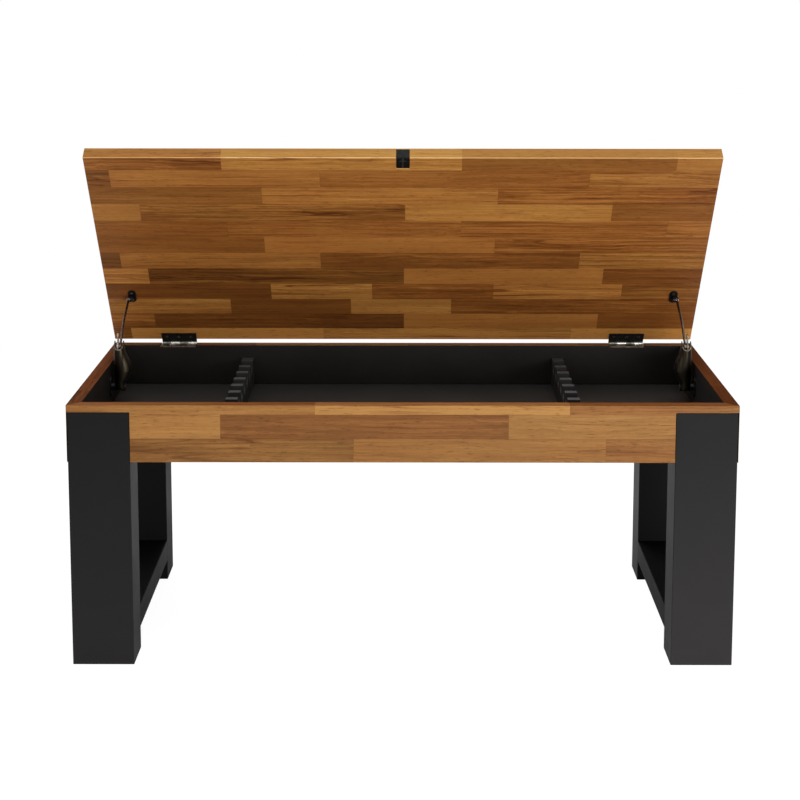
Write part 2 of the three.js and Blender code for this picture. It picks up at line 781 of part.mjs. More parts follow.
for (const { name, sign } of sides) {
  piece(box, `${name}_side_board`, sideBoard(sign), "wood");
  piece(box, `${name}_rack`, rack(sign), "blackPaint");
  piece(box, `${name}_stretcher`, stretcher(sign), "blackPaint");
  for (const end of ends) {
    piece(box, `${end.name}_${name}_leg`, leg(sign, end.sign), "blackPaint");
  }

  const boxHinge = new THREE.Group();
  boxHinge.position.set(sign * hingeFromCentre, hingeY, hingeZ);
  box.add(boxHinge);
  piece(boxHinge, `${name}_hinge_box_leaf`, boxLeaf(), "brass");
  piece(boxHinge, `${name}_hinge_pin`, hingePin(), "brass");
  const lidHinge = new THREE.Group();
  lidHinge.position.x = sign * hingeFromCentre;
  lid.add(lidHinge);
  piece(lidHinge, `${name}_hinge_lid_leaf`, lidLeaf(), "bronze");

  const arm = new THREE.Group();
  arm.position.set(0, lowerPivot.x, lowerPivot.y);
  arm.rotation.x = -armLean;
  box.add(arm);
  piece(arm, `${name}_stay_housing`, stayHousing(sign), "bronze");
  piece(arm, `${name}_stay_arm`, stayArm(sign), "nickel");
  piece(box, `${name}_stay_bracket`, wallBracket(sign), "blackSteel");
  piece(box, `${name}_stay_lower_pin`, lowerPin(sign), "nickel");
  piece(box, `${name}_stay_rod`, stayRod(sign), "bronze");
  piece(box, `${name}_stay_elbow_pin`, elbowPin(sign), "nickel");
  piece(lid, `${name}_stay_lid_mount`, lidMount(sign), "blackSteel");
  piece(lid, `${name}_stay_upper_pin`, upperPin(sign), "nickel");
}

export default bench;
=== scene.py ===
import json
import math
import random

import bmesh
import bpy
from mathutils import Matrix, Vector

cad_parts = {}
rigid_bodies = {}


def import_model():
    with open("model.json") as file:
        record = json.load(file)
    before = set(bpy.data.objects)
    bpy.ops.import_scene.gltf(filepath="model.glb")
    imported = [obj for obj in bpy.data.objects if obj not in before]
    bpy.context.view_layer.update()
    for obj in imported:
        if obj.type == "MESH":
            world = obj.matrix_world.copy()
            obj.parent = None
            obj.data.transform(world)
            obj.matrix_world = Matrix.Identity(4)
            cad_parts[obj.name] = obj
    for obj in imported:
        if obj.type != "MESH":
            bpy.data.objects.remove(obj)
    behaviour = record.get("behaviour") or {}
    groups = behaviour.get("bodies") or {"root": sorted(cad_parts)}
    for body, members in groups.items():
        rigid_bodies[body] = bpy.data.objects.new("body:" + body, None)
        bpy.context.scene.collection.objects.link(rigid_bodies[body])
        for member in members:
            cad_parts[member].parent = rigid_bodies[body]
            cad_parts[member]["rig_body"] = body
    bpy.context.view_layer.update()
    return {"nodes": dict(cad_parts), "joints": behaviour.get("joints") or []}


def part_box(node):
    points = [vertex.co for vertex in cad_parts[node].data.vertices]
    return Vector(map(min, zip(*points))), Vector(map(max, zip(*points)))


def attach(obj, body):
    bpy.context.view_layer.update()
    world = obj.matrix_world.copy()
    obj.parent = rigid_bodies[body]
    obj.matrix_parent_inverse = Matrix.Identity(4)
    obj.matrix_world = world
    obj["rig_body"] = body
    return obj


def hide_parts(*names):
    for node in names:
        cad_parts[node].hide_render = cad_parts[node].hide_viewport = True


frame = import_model()

MM = 0.001
SIDES = ("left", "right")
ALONG_X = Vector((1, 0, 0))
ALONG_Y = Vector((0, 1, 0))
UP = Vector((0, 0, 1))
WHITE = (1, 1, 1, 1)


# Camera
# The photograph was taken with the lens raised and tilted down, so its frame is shifted downwards.
# The angles are in degrees.
IMAGE_SIZE = 800
FOCAL_LENGTH_PX = 1650.9
PRINCIPAL_POINT_Y_PX = 198.83
SENSOR = 36.0
CAMERA_PLACE = (0, -2783.6 * MM, 1097.8 * MM)
CAMERA_TILT = 7.561
CAMERA_TURN = 0.0984
CAMERA_ROLL = 0.0477


def add_camera():
    data = bpy.data.cameras.new("camera")
    data.sensor_width = SENSOR
    data.lens = SENSOR * FOCAL_LENGTH_PX / IMAGE_SIZE
    data.shift_y = (PRINCIPAL_POINT_Y_PX - IMAGE_SIZE / 2) / IMAGE_SIZE
    camera = bpy.data.objects.new("camera", data)
    turned = Matrix.Rotation(math.radians(CAMERA_TURN), 4, "Z")
    tilted = Matrix.Rotation(math.radians(90 - CAMERA_TILT), 4, "X")
    rolled = Matrix.Rotation(math.radians(CAMERA_ROLL), 4, "Z")
    camera.matrix_world = Matrix.Translation(CAMERA_PLACE) @ turned @ tilted @ rolled
    bpy.context.scene.collection.objects.link(camera)
    bpy.context.scene.camera = camera


# Node trees
def srgb(*levels):
    """A colour given as 0 to 255 screen levels, as the linear RGBA that shaders take."""
    linear = [(v / 255 / 12.92) if v < 10.31 else ((v / 255 + 0.055) / 1.055) ** 2.4 for v in levels]
    return (*linear, 1.0)


def node(tree, kind, inputs, **settings):
    """A new shader node. Each input is a number, a colour or the output socket that feeds it."""
    made = tree.nodes.new("ShaderNode" + kind)
    for name, value in settings.items():
        setattr(made, name, value)
    for name, value in inputs.items():
        if isinstance(value, bpy.types.NodeSocket):
            tree.links.new(value, made.inputs[name])
        else:
            made.inputs[name].default_value = value
    return made


def new_material(name):
    material = bpy.data.materials.new(name)
    material.use_nodes = True
    tree = material.node_tree
    shader = tree.nodes["Principled BSDF"]
    return material, tree, shader


def math_node(tree, operation, *values, clamp=False):
    return node(tree, "Math", dict(enumerate(values)), operation=operation, use_clamp=clamp).outputs[0]


def product(tree, first, second, clamp=False):
    return math_node(tree, "MULTIPLY", first, second, clamp=clamp)


def total(tree, first, *others):
    for other in others:
        first = math_node(tree, "ADD", first, other)
    return first


def vector_node(tree, operation, first, second):
    return node(tree, "VectorMath", {0: first, 1: second}, operation=operation).outputs[0]


def scaled(tree, vector, factor):
    return node(tree, "VectorMath", {0: vector, "Scale": factor}, operation="SCALE").outputs[0]


def axes(tree, vector):
    """The outputs X, Y and Z of a vector."""
    return node(tree, "SeparateXYZ", {"Vector": vector}).outputs


def noise(tree, place, fineness, detail=3.0, roughness=0.5):
    """Noise about 0.5. fineness gives its waves per metre along each axis."""
    stretched = vector_node(tree, "MULTIPLY", place, fineness)
    inputs = {"Vector": stretched, "Scale": 1.0, "Detail": detail, "Roughness": roughness}
    return node(tree, "TexNoise", inputs).outputs["Fac"]


def centred(tree, value, share):
    """A noise value moved to lie about zero and scaled."""
    return product(tree, math_node(tree, "SUBTRACT", value, 0.5), share)


def map_range(tree, value, low, high, to_low=0.0, to_high=1.0):
    inputs = {"Value": value, "From Min": low, "From Max": high, "To Min": to_low, "To Max": to_high}
    return node(tree, "MapRange", inputs, clamp=True).outputs["Result"]


# Nearly all of a noise lies between these.
NOISE_LOW = 0.3
NOISE_HIGH = 0.7


def spread(tree, value, to_low=0.0, to_high=1.0):
    """A noise spread over a range."""
    return map_range(tree, value, NOISE_LOW, NOISE_HIGH, to_low, to_high)


# Where the Mix node has its factor, its two colours and its resulting colour
MIX_FACTOR = 0
MIX_FIRST = 6
MIX_SECOND = 7
MIX_RESULT = 2


def mix_colour(tree, factor, first, second, blend="MIX"):
    inputs = {MIX_FACTOR: factor, MIX_FIRST: first, MIX_SECOND: second}
    return node(tree, "Mix", inputs, data_type="RGBA", blend_type=blend).outputs[MIX_RESULT]


def bump(tree, height, strength, distance):
    inputs = {"Height": height, "Strength": strength, "Distance": distance}
    return node(tree, "Bump", inputs).outputs["Normal"]


# Wood
# The layers of the grain: the fineness along a stave, across it and through it, the detail and the roughness
GRAIN_LAYERS = {
    "broad": ((4, 34, 34), 2.0, 0.5),
    "bands": ((1.7, 150, 150), 3.0, 0.55),
    "streaks": ((5, 340, 340), 3.0, 0.6),
    "fibres": ((24, 1300, 1300), 3.0, 0.7),
    "rings": ((1.3, 62, 62), 1.0, 0.5),
    "pores": ((55, 520, 520), 2.0, 0.6),
    "patches": ((7, 26, 26), 1.0, 0.5),
}
# How far a layer lightens and darkens the wood
SHADE_SHARES = {"broad": 0.38, "bands": 0.6, "streaks": 0.62, "fibres": 0.6}

# How fast a stave's slope, figure and tint change with its seed, so that neighbours differ
SLOPE_RATE = 7.0
FIGURE_RATE = 5.1
TINT_RATE = 2.3

# How far a stave's part of the pattern is moved for each unit of its seed
STAVE_OFFSET = (3.7, 1.9, 2.3)
STEEPEST_SLOPE = 0.012
WAVE_FINENESS = (6, 16, 16)
WAVE_HEIGHT = 15 * MM
RIPPLE_FINENESS = (16, 50, 50)
RIPPLE_HEIGHT = 2 * MM

TONE_STOPS = (0.0, 0.35, 0.65, 1.0)
GREENER = (0.97, 1.03, 0.98, 1)
REDDER = (1.04, 0.96, 0.9, 1)
TINT_SWING = 0.35
TINT_MOTTLE = 0.9
# How far the rings' noise is from its middle where a dark line is full, and where it is gone
LINE_FULL = 0.005
LINE_GONE = 0.03
# The patches of noise that have such lines, and how dark the lines are outside and inside them
LINE_PATCHES = (0.4, 0.6)
LINE_DEPTHS = (0.05, 0.62)
LINE_TINT = (0.42, 0.31, 0.2, 1)
PORE_LEVELS = (0.59, 0.67)
PORE_DEPTH = 0.52
PORE_RELIEF = 0.8
PORE_TINT = (0.4, 0.3, 0.2, 1)
GLUE_TINT = (0.3, 0.2, 0.12, 1)
GLUE_DEPTH = 0.4
GLUE_LINE_WIDTH = 0.5 * MM
FIBRES_SMOOTHER = 0.05
FIBRES_ROUGHER = 0.07
GRAIN_RELIEF = 0.16
GRAIN_RELIEF_DEPTH = 0.2 * MM

END_OFFSET = (0.0, 0.4, 0.9)
END_RING_FINENESS = (0, 90, 150)
END_RING_WAVES = {"Scale": 1.0, "Distortion": 2.4, "Detail": 2.0}
END_RING_SHADES = (-0.22, 0.02)
END_PORE_FINENESS = (300, 1500, 1500)
END_PORE_LEVELS = (0.35, 0.65)
END_PORE_SHADES = (0.05, -0.15)
END_GRAIN_SHARE = 0.82
END_GRAIN_RELIEF = 0.2


def attribute(tree, name):
    return node(tree, "Attribute", {}, attribute_name=name).outputs["Vector"]


def ramp(tree, value, colours):
    """A colour between dark and light, from four colours in screen levels that lie at the tone stops."""
    made = node(tree, "ValToRGB", {"Fac": value})
    elements = made.color_ramp.elements
    while len(elements) < len(colours):
        elements.new(0.5)
    for element, place, levels in zip(elements, TONE_STOPS, colours):
        element.position = place
        element.color = srgb(*levels)
    return made.outputs["Color"]


def per_stave(tree, seed, rate):
    """A number from -1 to 1 that is a stave's own."""
    return math_node(tree, "SINE", product(tree, seed, rate))


def wandering_grain(tree, place, seed):
    """Where a point lies in the grain. Each stave has its own part of the pattern, slope and waves."""
    own = vector_node(tree, "ADD", place, scaled(tree, STAVE_OFFSET, seed))
    slope = product(tree, per_stave(tree, seed, SLOPE_RATE), STEEPEST_SLOPE)
    waves = centred(tree, noise(tree, own, WAVE_FINENESS, detail=2.0), WAVE_HEIGHT)
    ripples = centred(tree, noise(tree, own, RIPPLE_FINENESS, detail=1.0), RIPPLE_HEIGHT)
    shift = total(tree, product(tree, axes(tree, place)["X"], slope), waves, ripples)
    moved = node(tree, "CombineXYZ", {"X": 0.0, "Y": shift, "Z": shift}).outputs[0]
    return vector_node(tree, "ADD", own, moved)


def glue_lines(tree, place):
    """1 at the joints between staves and 0 away from them."""
    from_low = vector_node(tree, "SUBTRACT", place, attribute(tree, "stave_low"))
    to_high = vector_node(tree, "SUBTRACT", attribute(tree, "stave_high"), place)
    nearest = axes(tree, vector_node(tree, "MINIMUM", from_low, to_high))
    edge = math_node(tree, "MINIMUM", nearest["X"], nearest["Y"])
    return map_range(tree, edge, 0.0, GLUE_LINE_WIDTH, 1.0, 0.0)


def dark_lines(tree, layers, strength):
    """How dark the lines between growth rings are. They come in patches, most on strongly figured staves."""
    ridge = math_node(tree, "ABSOLUTE", math_node(tree, "SUBTRACT", layers["rings"], 0.5))
    line = map_range(tree, ridge, LINE_FULL, LINE_GONE, 1.0, 0.0)
    line = product(tree, line, map_range(tree, layers["patches"], *LINE_PATCHES, *LINE_DEPTHS))
    return product(tree, line, strength, clamp=True)


def stave_wood(name, colours, roughness, specular, figure=0.95, swing=0.5):
    """Staved wood. The mesh carries where each point lies in its board, and each stave's tone and seed.

    figure is how strongly the grain is drawn, and swing how much that differs from stave to stave.
    """
    material, tree, shader = new_material(name)
    place = attribute(tree, "grain")
    stave = axes(tree, attribute(tree, "stave"))
    tone, seed = stave["X"], stave["Y"]
    grain = wandering_grain(tree, place, seed)
    layers = {key: noise(tree, grain, *values) for key, values in GRAIN_LAYERS.items()}

    strength = total(tree, figure, product(tree, per_stave(tree, seed, FIGURE_RATE), swing))
    drawn = total(tree, *[centred(tree, layers[key], share) for key, share in SHADE_SHARES.items()])
    level = math_node(tree, "ADD", tone, product(tree, drawn, strength), clamp=True)
    colour = ramp(tree, level, colours)

    leaning = product(tree, per_stave(tree, seed, TINT_RATE), TINT_SWING)
    reddish = total(tree, 0.5, leaning, centred(tree, layers["patches"], TINT_MOTTLE))
    colour = mix_colour(tree, 1.0, colour, mix_colour(tree, reddish, GREENER, REDDER), "MULTIPLY")
    colour = mix_colour(tree, dark_lines(tree, layers, strength), colour, LINE_TINT, "MULTIPLY")
    fleck = map_range(tree, layers["pores"], *PORE_LEVELS, 0.0, PORE_DEPTH)
    colour = mix_colour(tree, fleck, colour, PORE_TINT, "MULTIPLY")
    glue = product(tree, glue_lines(tree, place), GLUE_DEPTH)
    colour = mix_colour(tree, glue, colour, GLUE_TINT, "MULTIPLY")

    tree.links.new(colour, shader.inputs["Base Color"])
    gloss = spread(tree, layers["fibres"], roughness - FIBRES_SMOOTHER, roughness + FIBRES_ROUGHER)
    tree.links.new(gloss, shader.inputs["Roughness"])
    relief = math_node(tree, "SUBTRACT", layers["fibres"], product(tree, fleck, PORE_RELIEF))
    tree.links.new(bump(tree, relief, GRAIN_RELIEF, GRAIN_RELIEF_DEPTH), shader.inputs["Normal"])
    shader.inputs["Specular IOR Level"].default_value = specular
    return material


def end_grain(name, colours, roughness, specular):
    """The sawn ends of the staves: growth rings and close pores instead of long fibres."""
    material, tree, shader = new_material(name)
    stave = axes(tree, attribute(tree, "stave"))
    tone, seed = stave["X"], stave["Y"]
    moved = vector_node(tree, "ADD", attribute(tree, "grain"), scaled(tree, END_OFFSET, seed))
    stretched = vector_node(tree, "MULTIPLY", moved, END_RING_FINENESS)
    inputs = {"Vector": stretched, **END_RING_WAVES}
    rings = node(tree, "TexWave", inputs, wave_type="RINGS", rings_direction="X").outputs["Fac"]
    pores = noise(tree, moved, END_PORE_FINENESS, detail=2.0)
    level = total(tree, tone, map_range(tree, rings, 0.0, 1.0, *END_RING_SHADES))
    darker = map_range(tree, pores, *END_PORE_LEVELS, *END_PORE_SHADES)
    level = math_node(tree, "ADD", level, darker, clamp=True)
    colour = ramp(tree, level, [[END_GRAIN_SHARE * v for v in levels] for levels in colours])
    tree.links.new(colour, shader.inputs["Base Color"])
    tree.links.new(bump(tree, pores, END_GRAIN_RELIEF, GRAIN_RELIEF_DEPTH), shader.inputs["Normal"])
    shader.inputs["Roughness"].default_value = roughness
    shader.inputs["Specular IOR Level"].default_value = specular
    return material


# Paint and metal
PAINT_PATCHES = (9, 9, 9)
ORANGE_PEEL = (900, 900, 900)
ORANGE_PEEL_DEPTH = 0.15 * MM
PAINT_SMOOTHER = 0.04
PAINT_ROUGHER = 0.05
# How high up the legs the painted light from the floor reaches
PAINTED_FLOOR_LIGHT_HEIGHT = 0.42
TARNISH_PATCHES = (120, 120, 120)
TARNISH_LEVELS = (0.35, 0.65)
TARNISH_ROUGHER = 0.14
BRUSHING = (260, 260, 260)
BRUSHING_RELIEF = 0.05
# The strips are painted reflections along the shell, and they also vary its gloss and relief.
SHELL_STRIPS = (230, 70, 6)
SHELL_STRIP_LEVELS = (0.36, 0.58)
SHELL_PAINTED_STRIP_SHINES = (0.25, 1.0)
SHELL_STRIPS_ROUGHER = 0.08
SHELL_STRIPS_RELIEF = 0.03
# How far the shell faces inboard, from which it turns from painted shade to painted reflection
SHELL_TURNS = (-0.25, 0.45)
SHELL_PAINTED_SHINES = (0.1, 1.0)
METAL_RELIEF_DEPTH = 0.1 * MM


def painted_wood(name, colour, roughness, specular, mottle, relief, dust=1.0):
    """Sprayed paint on wood, with fine orange peel and uneven gloss.

    mottle is how much lighter its patches are. The last argument gives how much lighter it is painted at the
    floor than at the top of the legs, as painted light from the floor.
    """
    material, tree, shader = new_material(name)
    place = node(tree, "TexCoord", {}).outputs["Object"]
    patches = noise(tree, place, PAINT_PATCHES, detail=4.0, roughness=0.6)
    peel = noise(tree, place, ORANGE_PEEL, detail=2.0)
    lighter = tuple(v * mottle for v in srgb(*colour)[:3]) + (1.0,)
    base = mix_colour(tree, spread(tree, patches), srgb(*colour), lighter)
    # Painted light: the paint is painted lighter towards the floor.
    floor_lightening = map_range(tree, axes(tree, place)["Z"], 0.0, PAINTED_FLOOR_LIGHT_HEIGHT, dust, 1.0)
    tree.links.new(scaled(tree, base, floor_lightening), shader.inputs["Base Color"])
    gloss = spread(tree, patches, roughness - PAINT_SMOOTHER, roughness + PAINT_ROUGHER)
    tree.links.new(gloss, shader.inputs["Roughness"])
    tree.links.new(bump(tree, peel, relief, ORANGE_PEEL_DEPTH), shader.inputs["Normal"])
    shader.inputs["Specular IOR Level"].default_value = specular
    return material


def metal(name, colour, tarnish, roughness, metallic=1.0, fineness=BRUSHING, patchiness=1.0, specular=0.5):
    """Plated or coated steel, with darker tarnish in patches or streaks, and a fine drawn finish."""
    material, tree, shader = new_material(name)
    place = node(tree, "TexCoord", {}).outputs["Object"]
    patches = noise(tree, place, TARNISH_PATCHES, detail=4.0, roughness=0.65)
    streaks = noise(tree, place, fineness)
    worn = total(tree, centred(tree, patches, patchiness), streaks)
    base = mix_colour(tree, map_range(tree, worn, *TARNISH_LEVELS), srgb(*colour), srgb(*tarnish))
    tree.links.new(base, shader.inputs["Base Color"])
    gloss = spread(tree, worn, roughness, roughness + TARNISH_ROUGHER)
    tree.links.new(gloss, shader.inputs["Roughness"])
    tree.links.new(bump(tree, streaks, BRUSHING_RELIEF, METAL_RELIEF_DEPTH), shader.inputs["Normal"])
    shader.inputs["Metallic"].default_value = metallic
    shader.inputs["Specular IOR Level"].default_value = specular
    return material


def bronzed_shell(name, colour, tarnish, roughness):
    """Bronzed steel with long drawn strips, painted bright in strips inboard and dark towards the wall, as
    painted light.
    """
    material, tree, shader = new_material(name)
    coordinates = node(tree, "TexCoord", {})
    place = coordinates.outputs["Object"]
    side = math_node(tree, "SIGN", axes(tree, place)["X"])
    facing_right = axes(tree, coordinates.outputs["Normal"])["X"]
    inboard = product(tree, facing_right, product(tree, side, -1.0))
    # Painted light: the inboard side is painted brighter in strips, and the side towards the wall is painted
    # shade.
    painted_side_light = map_range(tree, inboard, *SHELL_TURNS, *SHELL_PAINTED_SHINES)
    strips = noise(tree, place, SHELL_STRIPS, detail=2.0)
    painted_shine = product(tree, painted_side_light, map_range(tree, strips, *SHELL_STRIP_LEVELS, *SHELL_PAINTED_STRIP_SHINES))
    tree.links.new(mix_colour(tree, painted_shine, srgb(*tarnish), srgb(*colour)), shader.inputs["Base Color"])
    gloss = spread(tree, strips, roughness + SHELL_STRIPS_ROUGHER, roughness)
    tree.links.new(gloss, shader.inputs["Roughness"])
    tree.links.new(bump(tree, strips, SHELL_STRIPS_RELIEF, METAL_RELIEF_DEPTH), shader.inputs["Normal"])
    shader.inputs["Metallic"].default_value = 1.0
    return material


# Finishes
# Colours are in screen levels, and those of a wood go from its darkest tone to its lightest.
LID_COLOURS = [(87, 48, 17), (127, 76, 31), (163, 106, 50), (198, 139, 70)]
# The lid's front edge is painted lighter than the lid, as painted light, and its lower arris lighter still,
# as a painted highlight.
LIT_EDGE_COLOURS = [(136, 88, 38), (176, 123, 58), (193, 139, 69), (212, 163, 90)]
HIGHLIGHT_ARRIS_COLOURS = [(176, 128, 78), (206, 160, 104), (226, 184, 126), (240, 204, 150)]
BOX_COLOURS = [(87, 50, 22), (121, 78, 38), (148, 102, 54), (173, 127, 71)]
SIDE_RIM_COLOURS = [(72, 36, 15), (104, 58, 28), (134, 80, 42), (158, 102, 58)]
END_RIM_COLOURS = [(96, 54, 26), (130, 78, 40), (156, 102, 58), (178, 124, 76)]
REAR_RIM_COLOURS = [(120, 83, 49), (163, 119, 74), (195, 153, 104), (221, 185, 132)]

STAVE_WOODS = {
    "lid_wood": dict(colours=LID_COLOURS, roughness=0.5, specular=0.16),
    "lid_edge": dict(colours=LIT_EDGE_COLOURS, roughness=0.5, specular=0.12),
    "lid_arris": dict(colours=HIGHLIGHT_ARRIS_COLOURS, roughness=0.45, specular=0.2),
    "box_wood": dict(colours=BOX_COLOURS, roughness=0.52, specular=0.16, figure=0.9, swing=0.12),
    "side_rim_wood": dict(colours=SIDE_RIM_COLOURS, roughness=0.7, specular=0.01),
    "end_rim_wood": dict(colours=END_RIM_COLOURS, roughness=0.66, specular=0.02),
    "rear_rim_wood": dict(colours=REAR_RIM_COLOURS, roughness=0.66, specular=0.02),
}
END_GRAINS = {
    "lid_ends": dict(colours=LID_COLOURS, roughness=0.66, specular=0.12),
}
PAINTS = {
    "shaded_paint": dict(colour=(9, 8, 8), roughness=0.56, specular=0.07, mottle=1.2, relief=0.05, dust=1.6),
    "leg_paint": dict(colour=(12, 11, 11), roughness=0.56, specular=0.13, mottle=1.2, relief=0.05, dust=3.5),
    # A lighter copy of the leg paint, as painted light on the right legs
    "dusty_paint": dict(
        colour=(13, 12, 12), roughness=0.56, specular=0.15, mottle=1.2, relief=0.05, dust=5.8
    ),
    # A darker copy of the paint, as painted shade on the stretchers' tops
    "deep_paint": dict(colour=(7, 7, 7), roughness=0.66, specular=0.02, mottle=1.2, relief=0.05),
    "inside_paint": dict(colour=(21, 19, 17), roughness=0.5, specular=0.17, mottle=1.9, relief=0.12),
    # A lighter copy of the inside paint for the box's floor, as painted light
    "floor_paint": dict(colour=(54, 55, 55), roughness=0.48, specular=0.3, mottle=1.2, relief=0.12),
    # The racks' paint, which also serves as painted light on the right wall's inside
    "rack_paint": dict(colour=(41, 41, 40), roughness=0.5, specular=0.14, mottle=1.2, relief=0.12),
    # A lighter paint for the rack teeth's tops, as wear and a painted highlight
    "rubbed_paint": dict(colour=(74, 78, 80), roughness=0.5, specular=0.14, mottle=1.3, relief=0.12),
}
SHELLS = {
    "bronzed_steel": dict(colour=(60, 55, 44), tarnish=(22, 17, 14), roughness=0.4),
}
METALS = {
    # A lighter bronze, as a painted highlight on the housing's rim and painted light on the right arm's tip
    "worn_bronze": dict(colour=(96, 90, 78), tarnish=(68, 61, 50), roughness=0.38, patchiness=0.5),
    "rod_steel": dict(
        colour=(112, 96, 88), tarnish=(54, 45, 40), roughness=0.34, fineness=(500, 500, 40), patchiness=0.5
    ),
    "plate_steel": dict(
        colour=(20, 20, 16), tarnish=(12, 12, 10), roughness=0.46, metallic=0.2, patchiness=0.6, specular=0.12
    ),
    # A lighter steel, as painted highlights on the front plate's ribs and upper edge
    "worn_steel": dict(colour=(94, 96, 92), tarnish=(58, 58, 54), roughness=0.36, patchiness=0.6),
    "leaf_steel": dict(colour=(52, 50, 52), tarnish=(36, 34, 35), roughness=0.4, metallic=0.8),
    # The knuckles' lighter finishes, hinge_brass and barrel_steel, are painted highlights beside the dull
    # leaves.
    "hinge_brass": dict(colour=(232, 230, 222), tarnish=(188, 182, 166), roughness=0.22, patchiness=0.6),
    "leaf_brass": dict(colour=(146, 126, 116), tarnish=(96, 80, 72), roughness=0.34, patchiness=0.6),
    "barrel_steel": dict(colour=(150, 152, 134), tarnish=(98, 98, 84), roughness=0.28, patchiness=0.6),
    "bright_plating": dict(colour=(170, 156, 148), tarnish=(120, 108, 100), roughness=0.3, patchiness=0.6),
    "black_steel": dict(colour=(24, 24, 25), tarnish=(16, 16, 17), roughness=0.38, metallic=0.6),
    "screw_steel": dict(colour=(112, 108, 100), tarnish=(58, 54, 50), roughness=0.34),
}


def made_finishes():
    kinds = [
        (stave_wood, STAVE_WOODS),
        (end_grain, END_GRAINS),
        (painted_wood, PAINTS),
        (bronzed_shell, SHELLS),
        (metal, METALS),
    ]
    return {name: make(name, **look) for make, looks in kinds for name, look in looks.items()}


materials = made_finishes()


# Meshes made from the CAD nodes
WELD_DISTANCE = 0.002 * MM
# Faces that turn by less than this, in degrees, become one flat face.
FLAT_TURN = 0.6
# Edges that turn by more than this, in degrees, are eased.
EASED_TURN = 34
EASE_SEGMENTS = 2
ROUND_PROFILE = 0.5
# A face larger than this is a flat side. The smaller ones make up rounded edges and curved surfaces.
FLAT_FACE_AREA = 350 * MM * MM


def clean_mesh(node_name):
    """The node's solid as joined flat faces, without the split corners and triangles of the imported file."""
    mesh = bmesh.new()
    mesh.from_mesh(frame["nodes"][node_name].data)
    bmesh.ops.remove_doubles(mesh, verts=mesh.verts, dist=WELD_DISTANCE)
    bmesh.ops.dissolve_limit(mesh, angle_limit=math.radians(FLAT_TURN), verts=mesh.verts, edges=mesh.edges)
    bmesh.ops.recalc_face_normals(mesh, faces=mesh.faces)
    return mesh


def ease_edges(mesh, width):
    """Rounds the sharp edges."""
    limit = math.radians(EASED_TURN)
    sharp = [e for e in mesh.edges if len(e.link_faces) == 2 and e.calc_face_angle(0) > limit]
    shape = dict(segments=EASE_SEGMENTS, profile=ROUND_PROFILE, affect="EDGES", clamp_overlap=True)
    bmesh.ops.bevel(mesh, geom=sharp, offset=width, **shape)


def sort_by_place(elements, place):
    ranks = {element: rank for rank, element in enumerate(sorted(elements, key=place))}
    elements.sort(key=lambda element: ranks[element])


def put_in_order(mesh):
    """Cutting and triangulating number the corners and faces differently each run. This makes them alike."""
    sort_by_place(mesh.verts, lambda vertex: vertex.co[:])
    sort_by_place(mesh.faces, lambda face: face.calc_center_median()[:])


def add_piece(name, mesh, body, slot, finishes):
    put_in_order(mesh)
    data = bpy.data.meshes.new(name)
    for face in mesh.faces:
        face.smooth = face.calc_area() < FLAT_FACE_AREA
    mesh.to_mesh(data)
    mesh.free()
    for finish in finishes:
        data.materials.append(materials[finish])
    piece = bpy.data.objects.new(name, data)
    bpy.context.scene.collection.objects.link(piece)
    weighted = piece.modifiers.new("even_shading", "WEIGHTED_NORMAL")
    weighted.keep_sharp = True
    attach(piece, body)
    return piece


def replace_node(node_name, name, mesh, slot, finishes):
    """A piece that stands for a CAD node and rides on its body."""
    piece = add_piece(name, mesh, frame["nodes"][node_name]["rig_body"], slot, finishes)
    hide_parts(node_name)


def finish_faces(mesh, choose):
    """choose gives the number of a face's finish from the face's normal and middle."""
    for face in mesh.faces:
        face.material_index = choose(face.normal, face.calc_center_median())


def facing(direction, share):
    """The second finish for faces that face a direction, and the first for the others."""
    return lambda normal, middle: 1 if normal.dot(direction) > share else 0


def eased_piece(node_name, name, ease, slot, *finishes, choose=None):
    """A piece that keeps its CAD shape, with its edges eased."""
    mesh = clean_mesh(node_name)
    ease_edges(mesh, ease)
    if choose:
        finish_faces(mesh, choose)
    replace_node(node_name, name, mesh, slot, finishes)


# Staved boards
HIGHEST_SEED = 40
# The lengths, in millimetres, and the tones of staves where the photograph shows no joints
SHORTEST_STAVE = 150
LONGEST_STAVE = 430
SHORTEST_FIRST_STAVE = 50
SHORTEST_LAST_STAVE = 40
RANDOM_TONES = (0.3, 0.75)
CUT_TOLERANCE = 1e-7
# A stave's span reaches this far past the end of its board, so that no glue line is drawn there.
BEYOND_END = 1


class Board:
    """Where a board lies: its origin, and its directions along the staves, across them and through it."""

    def __init__(self, origin, along, across, rows):
        self.origin = Vector(origin)
        self.along = Vector(along).normalized()
        self.across = Vector(across).normalized()
        self.through = self.along.cross(self.across)
        self.rows = rows

    def place(self, point):
        offset = Vector(point) - self.origin
        return Vector((offset.dot(self.along), offset.dot(self.across), offset.dot(self.through)))

    def point(self, u, v):
        return self.origin + self.along * u + self.across * v


def stave_rows(widths, joints, tones, half_length, seed):
    """Rows of staves: each has its span across the board, and its staves' spans along it, tone and seed."""
    draw = random.Random(seed)
    rows = []
    start = 0.0
    for width, places, levels in zip(widths, joints, tones):
        bounds = [-half_length, *[p * MM for p in places], half_length]
        staves = []
        for low, high, tone in zip(bounds, bounds[1:], levels):
            staves.append((low, high, tone, draw.uniform(0, HIGHEST_SEED)))
        rows.append((start, start + width * MM, staves))
        start += width * MM
    return rows


